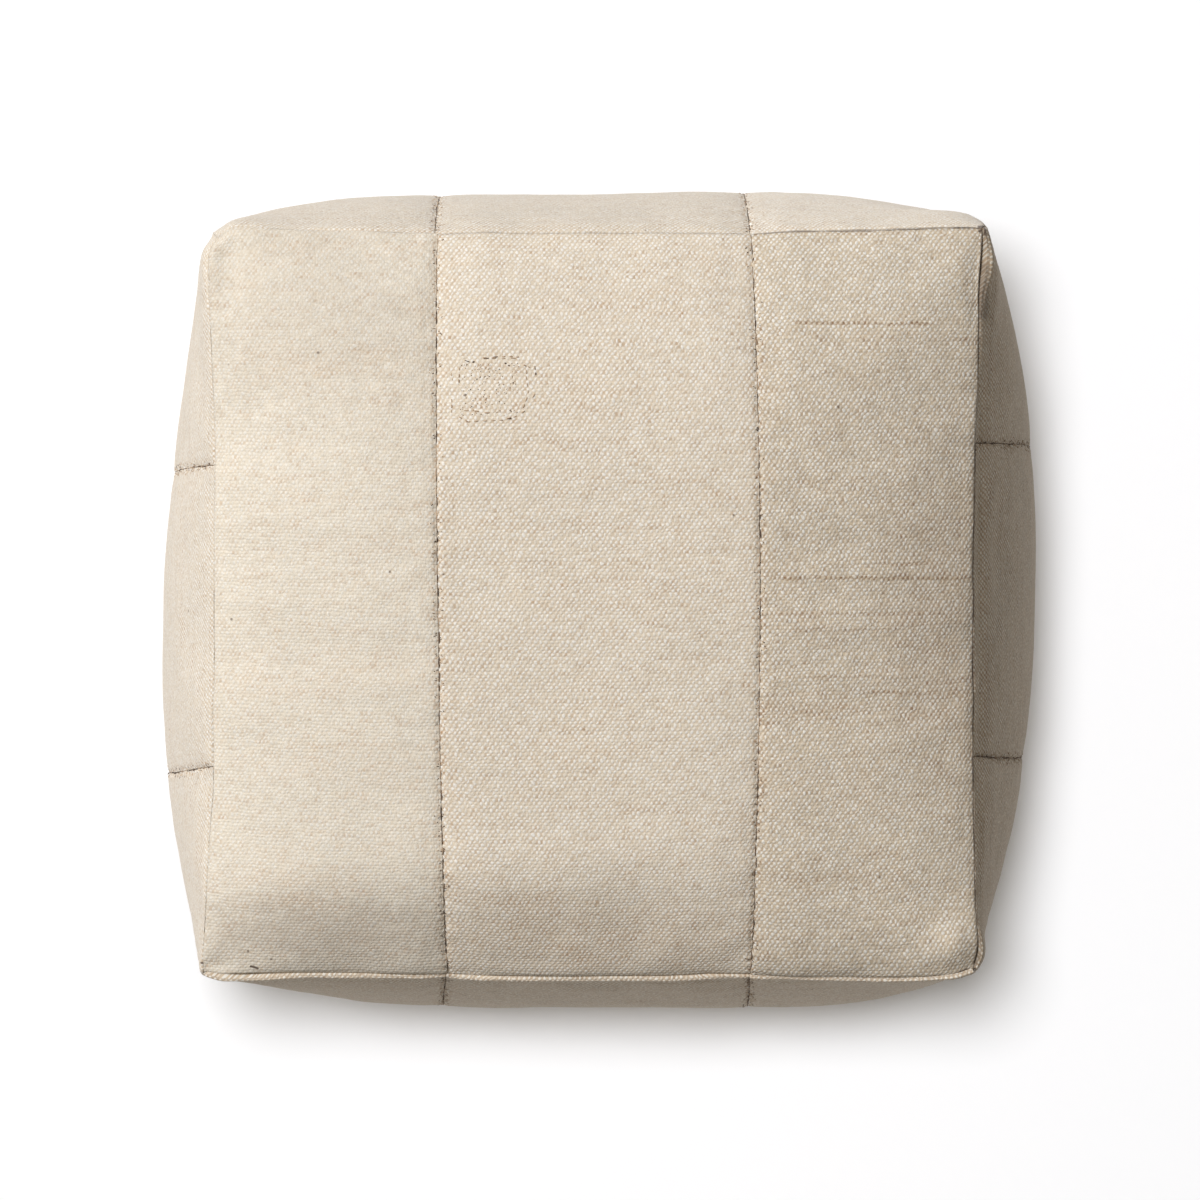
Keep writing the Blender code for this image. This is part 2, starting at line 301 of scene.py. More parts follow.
def flat_map(mesh, loop, across, along):
    """Maps a strip that lies flat by its place between its two long sides."""

    def straightness(vertex):
        before, after = (other.co - vertex.co for other in rim_neighbours(vertex))
        return -before.normalized().dot(after.normalized())

    corners = sorted(loop.index(vertex) for vertex in sorted(loop, key=straightness)[:4])
    near_side = [loop[0], *reversed(loop[corners[3] :])]
    far_side = loop[corners[1] : corners[2] + 1]
    first = min(vertex.co.dot(along) for vertex in loop)
    width = (far_side[0].co - near_side[0].co).length
    sides = []
    for side in (near_side, far_side):
        sides.append(([v.co.dot(along) for v in side], [v.co.dot(across) for v in side]))
    place = {}
    for vertex in mesh.verts:
        at = vertex.co.dot(along)
        near, far = (np.interp(at, *side) for side in sides)
        place[vertex] = (width * (vertex.co.dot(across) - near) / (far - near), at - first)
    return place, width, max(at for _, at in place.values())


def cloth_copy(node_name, panel):
    """The face of a strip's solid as an object of its own, in rows and columns, with its map."""
    across, along = Vector(panel["across"]), Vector(panel["along"])
    cloth = opened(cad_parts[node_name])
    bmesh.ops.remove_doubles(cloth, verts=cloth.verts[:], dist=1e-5)
    filling = [vertex for vertex in cloth.verts if (vertex.co - MIDDLE).length < TIP_REACH]
    bmesh.ops.delete(cloth, geom=filling, context="VERTS")
    loop = rim_round(cloth, across, along)
    size = grid_size(cloth, loop)
    if size:
        place, width, length = grid_map(cloth, loop, size[0])
    else:
        place, width, length = flat_map(cloth, loop, across, along)
    layer = cloth.loops.layers.uv.new("cloth")
    for face in cloth.faces:
        for corner in face.loops:
            corner[layer].uv = place[corner.vert]
    mesh = bpy.data.meshes.new(f"{node_name}_cloth")
    write_back(cloth, mesh)
    return put_in_scene(f"{node_name}_cloth", mesh), width, length


def places_on_cloth(mesh):
    """Where each point lies on the flat cloth: across and along the strip."""
    corner_points = np.empty(len(mesh.loops), np.int32)
    mesh.loops.foreach_get("vertex_index", corner_points)
    on_cloth = np.zeros((len(mesh.vertices), 2))
    on_cloth[corner_points] = read_rows(mesh.uv_layers["cloth"].data, "uv", 2)
    return on_cloth


def cut_finer_rows(piece, finest):
    """Cuts the cloth's rows finer along the strip."""
    mesh = opened(piece)
    layer = mesh.loops.layers.uv["cloth"]
    by_cuts = {}
    for edge in mesh.edges:
        corner = edge.link_loops[0]
        start, end = corner[layer].uv, corner.link_loop_next[layer].uv
        if abs(end.y - start.y) > abs(end.x - start.x):
            cuts = math.ceil(abs(end.y - start.y) / finest) - 1
            by_cuts.setdefault(cuts, []).append(edge)
    for cuts, edges in by_cuts.items():
        if cuts:
            bmesh.ops.subdivide_edges(mesh, edges=edges, cuts=cuts, use_grid_fill=True)
    write_back(mesh, piece.data)


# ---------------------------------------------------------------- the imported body


def packed_body():
    """All the solids joined and remeshed as one body."""
    copies = [put_in_scene(f"{name}_body", node.data.copy()) for name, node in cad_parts.items()]
    bpy.ops.object.select_all(action="DESELECT")
    for copy in copies:
        copy.select_set(True)
    body = copies[0]
    bpy.context.view_layer.objects.active = body
    bpy.ops.object.join()
    bpy.ops.object.mode_set(mode="EDIT")
    bpy.ops.mesh.select_all(action="SELECT")
    bpy.ops.mesh.remove_doubles(threshold=1e-5)
    bpy.ops.object.mode_set(mode="OBJECT")
    body.data.remesh_voxel_size = BODY_VOXEL
    bpy.ops.object.voxel_remesh()
    return body


def sewn_places(cloths):
    """A search tree of the strips' edges, where the body is sewn."""
    sewn = []
    for cloth in cloths:
        mesh = opened(cloth)
        for edge in mesh.edges:
            if edge.is_boundary:
                start, end = edge.verts[0].co, edge.verts[1].co
                pieces = max(1, int(edge.calc_length() / 0.003))
                sewn += [start.lerp(end, piece / pieces) for piece in range(pieces)]
        mesh.free()
    return search_tree(sewn)


def relaxed(body, places):
    """The places with their small folds ironed out, by smoothing the body's mesh."""
    sheet = put_in_scene("ironed", body.data.copy())
    move_points(sheet.data, places)
    finish_with(sheet, "SMOOTH", factor=0.5, iterations=160)
    ironed = points_of(sheet.data)
    bpy.data.objects.remove(sheet)
    return ironed


def settled_folds(cloths):
    """Presses the filling against the sewn cloth, and gives the small folds that this makes."""
    body = packed_body()
    rest = points_of(body.data)
    sewn = sewn_places(cloths)
    drawn_in = body.vertex_groups.new(name="drawn_in")
    on_floor = body.vertex_groups.new(name="on_floor")
    for number, place in enumerate(rest):
        nearness = 1 - sewn.find(place)[2] / SEWN_REACH
        if nearness > 0:
            drawn_in.add([number], nearness, "REPLACE")
        if place[2] < FLOOR_REACH:
            on_floor.add([number], 1.0, "REPLACE")
    select_only(body)
    cloth = body.modifiers.new("Cloth", "CLOTH")
    cloth.settings.effector_weights.gravity = 0.0
    cloth.settings.vertex_group_mass = on_floor.name
    cloth.settings.vertex_group_shrink = drawn_in.name
    for name, value in BODY_CLOTH.items():
        setattr(cloth.settings, name, value)
    cloth.collision_settings.use_collision = False
    cloth.point_cache.frame_end = LAST_FRAME
    for number in range(1, LAST_FRAME + 1):
        bpy.context.scene.frame_set(number)
    bpy.ops.object.modifier_apply(modifier=cloth.name)
    pressed = points_of(body.data)
    folds = (pressed - relaxed(body, pressed)) - (rest - relaxed(body, rest))
    size = np.linalg.norm(folds, axis=1, keepdims=True)
    folds *= LARGEST_SHIFT * 3 / np.maximum(size, LARGEST_SHIFT * 3)
    bpy.data.objects.remove(body)
    bpy.context.scene.frame_set(1)
    return search_tree(rest), folds


def settle(piece, tree, folds, share):
    """Moves a strip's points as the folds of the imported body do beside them."""
    places = points_of(piece.data)
    shift = np.zeros_like(places)
    for number, place in enumerate(places):
        near = tree.find_n(place, 4)
        weights = np.array([1 / (distance + 0.001) for _, _, distance in near])
        beside = folds[[found for _, found, _ in near]]
        shift[number] = (beside * weights[:, None]).sum(axis=0) / weights.sum()
    shift *= share
    size = np.linalg.norm(shift, axis=1, keepdims=True)
    shift *= LARGEST_SHIFT / np.maximum(size, LARGEST_SHIFT)
    move_above_floor(piece, places + shift)


# ---------------------------------------------------------------- how sewing draws the cloth in


def eased(part):
    """A share from 0 to 1 that starts and ends gently."""
    return part * part * (3 - 2 * part)


def wander(count, seed, at):
    """Smooth random heights along a line, from -1 to 1, that repeat after so many whole steps."""
    values = np.random.default_rng(seed).uniform(-1, 1, count)
    whole = np.floor(at).astype(int)
    ease = eased(at - whole)
    return values[whole % count] * (1 - ease) + values[(whole + 1) % count] * ease


def wander_over(seed, across, along):
    """Smooth random heights over the cloth, from -1 to 1."""
    count = 64
    values = np.random.default_rng(seed).uniform(-1, 1, (count, count))
    column, row = np.floor(across).astype(int), np.floor(along).astype(int)
    ease_across, ease_along = eased(across - column), eased(along - row)
    first, second = column % count, (column + 1) % count
    low, high = (
        values[at % count, first] * (1 - ease_across) + values[at % count, second] * ease_across
        for at in (row, row + 1)
    )
    return low * (1 - ease_along) + high * ease_along


def join_puckers(from_join, along, seed):
    """Heights beside a join: each stitch draws the cloth down, and it swells between them."""
    strength = 0.75 + 0.5 * wander(97, seed, along / 0.019)
    shifted = along + 0.0012 * wander(89, seed + 1, along / 0.011)
    stitch = 0.5 + 0.5 * np.cos(math.tau * shifted / STITCH_PITCH)
    pit = -0.00055 * stitch * np.exp(-((from_join / 0.0016) ** 2))
    swell = 0.00030 * (1 - stitch) * np.exp(-(((from_join - 0.0022) / 0.0020) ** 2))
    gather = 0.00040 * wander(83, seed + 2, along / 0.0075) * np.exp(-from_join / 0.007)
    return strength * (pit + swell) + gather


def seam_puckers(from_seam, along_seam, seed):
    """Heights beside a seam between two panels: short gathers that fade inwards."""
    gather = wander(79, seed, along_seam / 0.0055)
    slow = wander(73, seed + 1, along_seam / 0.021)
    rise = 1 - np.exp(-((from_seam / 0.0012) ** 2))
    short = 0.00030 * gather * np.exp(-from_seam / 0.0050)
    long = 0.00060 * slow * np.exp(-from_seam / 0.014)
    return rise * (short + long)


def draw_in(piece, strip_number, width, length, seed):
    """Adds the sewing's puckers and the cloth's own unevenness to a strip."""
    on_cloth = places_on_cloth(piece.data)
    across, along = on_cloth[:, 0], on_cloth[:, 1]
    height = 0.00035 * wander_over(seed, across / 0.031 + 11, along / 0.044 + 5)
    height += 0.00014 * wander_over(seed + 1, across / 0.011 + 3, along / 0.013 + 7)
    inside = 1 - np.exp(-np.minimum(along, length - along) / 0.004)
    low_side = (across, strip_number > 0, seed + 17 * strip_number)
    high_side = (width - across, strip_number < 2, seed + 17 * (strip_number + 1))
    for from_side, is_join, join_seed in (low_side, high_side):
        if is_join:
            height += inside * join_puckers(from_side, along, join_seed)
        else:
            height += seam_puckers(from_side, along, seed + 31)
    height += seam_puckers(along, across, seed + 41)
    height += seam_puckers(length - along, across, seed + 43)
    move_above_floor(piece, points_of(piece.data) + normals_of(piece.data) * height[:, None])


def shape_by_hand(piece):
    """Shifts the cloth where the filling pushes it out or the sewing pulls it in."""
    places = points_of(piece.data)
    shift = np.zeros_like(places)
    for middle, reach, most in HAND_SHAPED:
        off = (places - np.array(middle)) / np.array(reach)
        shift += np.exp(-(off**2).sum(axis=1))[:, None] * np.array(most)
    move_points(piece.data, places + shift)


def closeness(place):
    """The share by which a seam closes up: at the left, in front, and behind left of the middle."""
    if place.z < CLOSED_ABOVE:
        return 0.0
    if place.x < -LEFT_SEAM_BEYOND:
        return 1.0
    if place.y < -END_SEAMS_BEYOND:
        return 0.9
    if place.y > END_SEAMS_BEYOND:
        return min(1.0, max(0.0, (-0.02 - place.x) / 0.10))
    return 0.0


def meet_neighbours(piece, strip):
    """Brings the cloth's edge closer to its neighbour's along the seams that hardly show."""
    across = places_on_cloth(piece.data)[:, 0]
    at_low_join = (across < ON_EDGE) & (strip["number"] > 0)
    at_high_join = (across > strip["width"] - ON_EDGE) & (strip["number"] < 2)
    at_join = at_low_join | at_high_join
    mesh = opened(piece)
    shifts = []
    for vertex in mesh.verts:
        beside = [edge.other_vert(vertex).co for edge in vertex.link_edges if not edge.is_boundary]
        beside = beside or [edge.other_vert(vertex).co for edge in vertex.link_edges]
        if vertex.is_boundary and not at_join[vertex.index]:
            outward = (vertex.co - sum(beside, Vector()) / len(beside)).normalized()
            shifts.append((vertex, outward * SEAM_CLOSING * closeness(vertex.co)))
    for vertex, shift in shifts:
        vertex.co += shift
    write_back(mesh, piece.data)


def back_with_filling(piece):
    """Closes the strip: walls run in from its edge and narrow to the cube's middle."""
    mesh = opened(piece)
    middle = sum((vertex.co for vertex in mesh.verts), Vector()) / len(mesh.verts)
    tip = MIDDLE + (middle - MIDDLE).normalized() * 0.0006
    rim = [edge for edge in mesh.edges if edge.is_boundary]
    walls = bmesh.ops.extrude_edge_only(mesh, edges=rim)["geom"]
    for vertex in (item for item in walls if isinstance(item, bmesh.types.BMVert)):
        vertex.co = tip.lerp(vertex.co, TIP_SHARE)
    inner_rim = [edge for edge in mesh.edges if edge.is_boundary]
    tip_face = bmesh.ops.contextual_create(mesh, geom=inner_rim)["faces"]
    bmesh.ops.poke(mesh, faces=tip_face)
    bmesh.ops.recalc_face_normals(mesh, faces=mesh.faces[:])
    write_back(mesh, piece.data)


# ---------------------------------------------------------------- shader nodes


class Nodes:
    """Adds nodes to one tree and links them, in the order in which they are worked out."""

    def __init__(self, tree):
        self.tree = tree

    def add(self, kind, settings=None, **inputs):
        """A node with its settings and inputs; an input is a value or another node's output."""
        node = self.tree.nodes.new(kind)
        for name, value in (settings or {}).items():
            setattr(node, name, value)
        for name, value in inputs.items():
            socket = node.inputs[int(name[1:]) if name[1:].isdigit() else name.replace("_", " ")]
            if isinstance(value, bpy.types.NodeSocket):
                self.tree.links.new(value, socket)
            else:
                socket.default_value = value
        return node

    def arithmetic(self, operation, first, second=0.0, third=0.0):
        """The result of one arithmetic step."""
        values = {"_0": first, "_1": second, "_2": third}
        return self.add("ShaderNodeMath", {"operation": operation}, **values).outputs[0]

    def plus(self, first, second):
        """The sum of two values."""
        return self.arithmetic("ADD", first, second)

    def minus(self, first, second):
        """The first value less the second."""
        return self.arithmetic("SUBTRACT", first, second)

    def times(self, first, second):
        """The product of two values."""
        return self.arithmetic("MULTIPLY", first, second)

    def over(self, first, second):
        """The first value divided by the second."""
        return self.arithmetic("DIVIDE", first, second)

    def scaled(self, value, by, onto):
        """A value times another, added onto a third."""
        return self.arithmetic("MULTIPLY_ADD", value, by, onto)

    def rest(self, share):
        """What is left of one."""
        return self.arithmetic("SUBTRACT", 1.0, share)

    def size(self, value):
        """The value without its sign."""
        return self.arithmetic("ABSOLUTE", value)

    def whole(self, value):
        """The whole number below a value."""
        return self.arithmetic("FLOOR", value)

    def vector(self, operation, first, second=None, output="Vector", **more):
        """The result of one step with places or directions."""
        if second is not None:
            more["_1"] = second
        node = self.add("ShaderNodeVectorMath", {"operation": operation}, _0=first, **more)
        return node.outputs[output]

    def group(self, tree, **inputs):
        """The outputs of a node group."""
        return self.add("ShaderNodeGroup", {"node_tree": tree}, **inputs).outputs

    def parts(self, place):
        """The three parts of a place."""
        return self.add("ShaderNodeSeparateXYZ", None, Vector=place).outputs

    def between(self, value, low, high):
        """0 below low, 1 above high and smooth in between."""
        limits = {"From_Min": low, "From_Max": high, "To_Min": 0.0, "To_Max": 1.0}
        settings = {"interpolation_type": "SMOOTHSTEP"}
        return self.add("ShaderNodeMapRange", settings, Value=value, **limits).outputs["Result"]

    def mixed(self, share, first, second, blend="MIX"):
        """Two colours mixed by a share."""
        settings = {"data_type": "RGBA", "blend_type": blend}
        return self.add("ShaderNodeMix", settings, _0=share, _6=first, _7=second).outputs[2]

    def joined(self, x, y, z=0.0):
        """A place from its three parts."""
        return self.add("ShaderNodeCombineXYZ", None, X=x, Y=y, Z=z).outputs["Vector"]

    def stretched(self, place, across, along, layer=0.0):
        """A place scaled differently across and along the cloth."""
        return self.joined(self.times(place[0], across), self.times(place[1], along), layer)

    def wave(self, at):
        """A wave that turns over at each whole number."""
        return self.arithmetic("COSINE", self.times(at, math.pi))

    def limited(self, value):
        """The value held between 0 and 1."""
        return self.add("ShaderNodeClamp", None, Value=value).outputs[0]

    def noise(self, place, scale, detail=2.0, roughness=0.5):
        """Smooth noise at a place, about 0 to 1."""
        settings = {"Scale": scale, "Detail": detail, "Roughness": roughness}
        return self.add("ShaderNodeTexNoise", None, Vector=place, **settings).outputs["Fac"]

    def give(self, **outputs):
        """Ends a node group with its outputs, and returns its tree."""
        result = self.add("NodeGroupOutput").inputs
        for name, value in outputs.items():
            self.tree.links.new(value, result[name])
        return self.tree


def new_group(name, inputs, outputs):
    """A new node group: its nodes and its inputs. A socket is a Float where it names no other kind."""
    tree = bpy.data.node_groups.new(name, "ShaderNodeTree")
    for in_out, sockets in (("INPUT", inputs), ("OUTPUT", outputs)):
        for socket in sockets.split():
            title, _, kind = socket.partition(":")
            kind = f"NodeSocket{kind or 'Float'}"
            tree.interface.new_socket(name=title, in_out=in_out, socket_type=kind)
    nodes = Nodes(tree)
    return nodes, nodes.add("NodeGroupInput").outputs


def plain_weave_group():
    """Plain weave: which thread passes over at each place, its colour and its height."""
    inputs = "Place:Vector Warp:Color Weft:Color Brown:Color Browning Relief"
    nodes, given = new_group("plain_weave", inputs, "Color:Color Height")
    place = nodes.parts(given["Place"])
    sway = nodes.noise(nodes.stretched(place, 60, 45), 1.0, 3.0)
    sag = nodes.noise(nodes.stretched(place, 50, 90, 7.0), 1.0, 3.0)
    uneven = nodes.noise(given["Place"], 190.0, 3.0, 0.7)
    leaning = nodes.scaled(place[1], 0.05, place[0])
    warp_place = nodes.scaled(nodes.minus(sway, 0.5), 0.0022, leaning)
    warp_place = nodes.scaled(nodes.minus(uneven, 0.5), 0.0030, warp_place)
    weft_place = nodes.scaled(nodes.minus(sag, 0.5), 0.0026, place[1])
    weft_place = nodes.scaled(nodes.minus(uneven, 0.5), -0.0026, weft_place)
    warp_at = nodes.over(warp_place, WARP_PITCH)
    weft_at = nodes.over(weft_place, WEFT_PITCH)
    rising = nodes.wave(nodes.minus(warp_at, weft_at))
    falling = nodes.wave(nodes.plus(warp_at, weft_at))
    crossing = nodes.scaled(rising, RISING_SHARE, nodes.times(falling, RISING_SHARE - 1))
    warp_over = nodes.minus(nodes.between(crossing, -0.80, 0.70), 0.5)
    warp_over = nodes.scaled(warp_over, given["Relief"], 0.5)
    grooves = nodes.times(nodes.wave(nodes.times(weft_at, 2.0)), 0.85)
    grooves = nodes.scaled(nodes.wave(nodes.times(warp_at, 2.0)), 0.32, grooves)

    warp_number = nodes.whole(warp_at)
    weft_number = nodes.whole(weft_at)
    crossing_at = nodes.joined(warp_number, weft_number)
    grain = nodes.add("ShaderNodeTexWhiteNoise", {"noise_dimensions": "2D"}, Vector=crossing_at)
    grain = grain.outputs["Value"]
    at = nodes.joined(nodes.times(warp_number, 3.7), nodes.times(place[1], 70))
    warp_tone = nodes.noise(at, 1.0, 3.0, 0.6)
    at = nodes.joined(nodes.times(place[0], 110), nodes.times(weft_number, 3.9))
    weft_tone = nodes.noise(at, 1.0, 3.0, 0.6)
    at = nodes.joined(nodes.times(place[0], 13), nodes.times(weft_number, 5.3), 3.0)
    slub_tone = nodes.noise(at, 1.0, 3.0, 0.6)
    slub = nodes.times(nodes.between(slub_tone, 0.58, 0.78), 0.45)
    browned = nodes.plus(slub, given["Browning"])

    weft_brown = nodes.times(nodes.between(nodes.scaled(grain, 0.15, weft_tone), 0.50, 0.90), 0.95)
    weft_brown = nodes.scaled(browned, nodes.scaled(grain, 0.7, 0.45), weft_brown)
    weft_colour = nodes.mixed(nodes.limited(weft_brown), given["Weft"], given["Brown"])
    warp_brown = nodes.times(nodes.between(nodes.scaled(grain, -0.3, warp_tone), 0.05, 0.55), -0.40)
    warp_brown = nodes.plus(nodes.scaled(browned, 0.30, 0.40), warp_brown)
    warp_colour = nodes.mixed(nodes.limited(warp_brown), given["Warp"], given["Weft"])
    colour = nodes.mixed(warp_over, weft_colour, warp_colour)
    # Painted shade: the cloth in the grooves between the threads is mixed towards brown.
    groove_share = nodes.times(nodes.times(given["Relief"], given["Relief"]), 0.30)
    groove_shade = nodes.times(nodes.between(grooves, 0.0, 1.1), groove_share)
    colour = nodes.mixed(groove_shade, colour, given["Brown"])
    colour = nodes.mixed(nodes.times(nodes.between(grain, 0.35, 1.0), 0.40), colour, given["Weft"])
    raised = nodes.scaled(nodes.times(slub, warp_over), 0.5, warp_over)
    raised = nodes.scaled(grooves, -0.45, raised)
    raised = nodes.scaled(nodes.plus(warp_tone, weft_tone), 0.50, raised)
    return nodes.give(Color=colour, Height=raised)


def worn_patches_group():
    """Bands and patches of browner weft, and softly lighter and darker places."""
    nodes, given = new_group("worn_patches", "Place:Vector Amount", "Browning Shade:Color")
    place = nodes.parts(given["Place"])
    broad = nodes.noise(given["Place"], 16.0, 3.0, 0.55)
    band = nodes.noise(nodes.stretched(place, 7, 75, 2.0), 1.0, 4.0, 0.62)
    fine = nodes.noise(nodes.stretched(place, 120, 170, 4.0), 1.0, 3.0, 0.65)
    banded = nodes.plus(nodes.times(band, 0.6), nodes.times(broad, 0.4))
    ragged = nodes.scaled(nodes.minus(fine, 0.5), 0.30, banded)
    browning = nodes.times(nodes.between(ragged, 0.48, 0.74), given["Amount"])
    thready = nodes.noise(given["Place"], 750.0, 2.0, 0.7)
    uneven = nodes.times(nodes.minus(fine, 0.5), 0.50)
    uneven = nodes.scaled(nodes.minus(broad, 0.5), 0.30, uneven)
    uneven = nodes.scaled(nodes.minus(thready, 0.5), 1.10, uneven)
    tone = nodes.scaled(uneven, given["Amount"], 1.0)
    return nodes.give(Browning=browning, Shade=nodes.joined(tone, tone, tone))


def long_slub_group():
    """A thick brown weft thread that shows from one place to another along its row."""
    nodes, given = new_group("long_slub", "Place:Vector From To Row Thickness", "Mask")
    place = nodes.parts(given["Place"])
    waver = nodes.noise(nodes.joined(place[0], given["Row"], 0.3), 70.0, 2.0)
    row = nodes.scaled(nodes.minus(waver, 0.5), 0.0035, given["Row"])
    off_row = nodes.size(nodes.minus(place[1], row))
    on_row = nodes.rest(nodes.between(nodes.over(off_row, given["Thickness"]), 0.35, 1.0))
    started = nodes.between(nodes.minus(place[0], given["From"]), -0.004, 0.010)
    stopped = nodes.between(nodes.minus(given["To"], place[0]), -0.004, 0.010)
    gaps = nodes.noise(nodes.joined(place[0], given["Row"], 0.9), 150.0, 3.0, 0.65)
    broken = nodes.between(gaps, 0.30, 0.58)
    mask = nodes.times(nodes.times(on_row, broken), nodes.times(started, stopped))
    return nodes.give(Mask=mask)


def stain_and_shade_group():
    """A faint patch with an uneven edge, the mask for stains and for painted shade."""
    nodes, given = new_group("stain", "Place:Vector Middle:Vector Reach:Vector", "Mask")
    off = nodes.vector("SUBTRACT", given["Place"], given["Middle"])
    share = nodes.vector("DIVIDE", off, given["Reach"])
    away = nodes.vector("LENGTH", share, output="Value")
    ragged = nodes.scaled(nodes.noise(given["Place"], 180.0, 4.0, 0.65), 1.6, nodes.minus(away, 0.8))
    return nodes.give(Mask=nodes.rest(nodes.between(ragged, 0.2, 1.1)))


def flecks_group():
    """Small dark flecks of husk spun into the thread, here and there."""
    nodes, given = new_group("flecks", "Place:Vector Amount", "Mask")
    spread = {"Scale": 75.0, "Randomness": 1.0}
    cells = nodes.add("ShaderNodeTexVoronoi", {"feature": "F1"}, Vector=given["Place"], **spread).outputs
    small = nodes.rest(nodes.between(cells["Distance"], 0.035, 0.085))
    pick = nodes.add("ShaderNodeSeparateColor", None, Color=cells["Color"]).outputs[0]
    chosen = nodes.between(pick, 0.80, 0.86)
    return nodes.give(Mask=nodes.times(nodes.times(small, chosen), given["Amount"]))


WEAVE = plain_weave_group()
PATCHES = worn_patches_group()
LONG_SLUB = long_slub_group()
STAIN_AND_SHADE = stain_and_shade_group()
FLECKS = flecks_group()

# Long brown slubs that show on the top: from where to where across it, on which row, and how strong.
TOP_SLUBS = {
    "top_strip_left": (
        (-0.150, -0.098, 0.1390, 0.45),
        (-0.216, -0.160, 0.0420, 0.30),
        (-0.190, -0.120, -0.0180, 0.30),
        (-0.172, -0.104, -0.0810, 0.40),
        (-0.205, -0.140, -0.1300, 0.30),
    ),
    "top_strip_centre": (
        (-0.055, -0.010, 0.0890, 0.35),
        (-0.050, -0.022, 0.0215, 0.45),
        (0.036, 0.078, -0.0330, 0.40),
        (-0.085, -0.040, -0.1260, 0.35),
        (0.010, 0.060, -0.1440, 0.30),
    ),
    "top_strip_right": (
        (0.106, 0.190, 0.1557, 1.75),
        (0.198, 0.212, 0.1478, 1.45),
        (0.152, 0.193, 0.0207, 1.30),
        (0.095, 0.211, 0.0123, 1.85),
        (0.092, 0.196, -0.0078, 0.90),
        (0.100, 0.170, -0.0168, 0.68),
        (0.112, 0.162, -0.0431, 0.90),
        (0.145, 0.211, -0.0521, 0.90),
    ),
}
SLUB_THICKNESS = 0.0014
TOP_HEIGHT = 0.45
SPECKS_BESIDE_JOINS = 1.2

# Faint patches on the top, across and along it: the middle, how far it reaches, how much browner
# (or paler) it is, and how much greyer. The small ones are stains. The broad ones along the front
# edge, at the back left and along the right edge are painted shade, and all the greying is painted
# shade.
TOP_STAINS_AND_SHADE = {
    "top_strip_left": (
        ((-0.172, -0.169), (0.024, 0.007), 0.50, 0.0),
        ((-0.128, 0.140), (0.022, 0.006), 0.25, 0.0),
        # painted shade along the front edge, and at the back left
        ((-0.160, -0.187), (0.095, 0.026), 0.45, 0.20),
        ((-0.165, 0.165), (0.095, 0.085), 0.12, 0.13),
    ),
    "top_strip_centre": (
        ((-0.040, -0.170), (0.045, 0.006), 0.40, 0.0),
        # painted shade along the front edge
        ((0.000, -0.190), (0.120, 0.023), 0.40, 0.0),
    ),
    "top_strip_right": (
        ((0.188, -0.095), (0.010, 0.008), 0.50, 0.0),
        ((0.120, -0.148), (0.008, 0.006), 0.40, 0.0),
        # painted shade along the right edge
        ((0.190, 0.000), (0.040, 0.115), 0.45, 0.12),
        ((0.125, 0.178), (0.110, 0.036), -0.45, 0.0),
        ((0.150, -0.140), (0.065, 0.024), -0.25, 0.0),
    ),
}


def beside_joins_group():
    """Browner specks in the cloth beside a join, fading away from it."""
    nodes, given = new_group("beside_joins", "Place:Vector Join Amount", "Browning")
    place = nodes.parts(given["Place"])
    away = nodes.size(nodes.minus(place[0], given["Join"]))
    near = nodes.rest(nodes.between(away, 0.0005, 0.0075))
    ridge = nodes.rest(nodes.between(nodes.size(nodes.minus(away, 0.0088)), 0.0, 0.0011))
    specks = nodes.noise(nodes.stretched(place, 260, 300, 5.0), 1.0, 3.0, 0.7)
    runs = nodes.noise(nodes.stretched(place, 0, 38, 6.0), 1.0, 2.0, 0.6)
    chosen = nodes.times(nodes.between(specks, 0.45, 0.68), near)
    faint = nodes.times(nodes.times(ridge, nodes.between(runs, 0.45, 0.65)), 0.45)
    browning = nodes.times(nodes.plus(chosen, faint), given["Amount"])
    return nodes.give(Browning=browning)


def seam_lines_group():
    """Painted shade: thin dark lines where the cloth turns into a seam, at its two ends and its two sides.
    """
    nodes, given = new_group("seam_lines", "Place:Vector Width Length Start End Low High", "Mask")
    place = nodes.parts(given["Place"])
    waver = nodes.times(nodes.minus(nodes.noise(given["Place"], 260.0, 3.0, 0.6), 0.5), 0.0012)
    edges = (
        (place[1], given["Start"]),
        (nodes.minus(given["Length"], place[1]), given["End"]),
        (place[0], given["Low"]),
        (nodes.minus(given["Width"], place[0]), given["High"]),
    )
    mask = 0.0
    for away, amount in edges:
        line = nodes.rest(nodes.between(nodes.plus(away, waver), 0.0001, SEAM_LINE_WIDTH))
        mask = nodes.arithmetic("MAXIMUM", nodes.times(line, amount), mask)
    broken = nodes.between(nodes.noise(given["Place"], 55.0, 3.0, 0.6), 0.36, 0.60)
    mask = nodes.times(mask, nodes.scaled(broken, 0.6, 0.4))
    return nodes.give(Mask=mask)


def crease_shade_group():
    """Painted shade of a crease from one place to another, as seen from above."""
    nodes, given = new_group("crease", "Place:Vector Start:Vector Run:Vector Thickness", "Mask")
    off = nodes.vector("SUBTRACT", given["Place"], given["Start"])
    flat = nodes.vector("MULTIPLY", off, (1.0, 1.0, 0.03))
    onto = nodes.vector("DOT_PRODUCT", flat, given["Run"], "Value")
    size = nodes.vector("DOT_PRODUCT", given["Run"], given["Run"], "Value")
    share = nodes.limited(nodes.over(onto, size))
    nearest = nodes.vector("SCALE", given["Run"], Scale=share)
    apart = nodes.vector("SUBTRACT", flat, nearest)
    away = nodes.vector("LENGTH", apart, output="Value")
    waver = nodes.minus(nodes.noise(given["Place"], 420.0, 2.0, 0.6), 0.5)
    away = nodes.scaled(waver, 0.0008, away)
    mask = nodes.rest(nodes.between(nodes.over(away, given["Thickness"]), 0.25, 1.0))
    return nodes.give(Mask=mask)
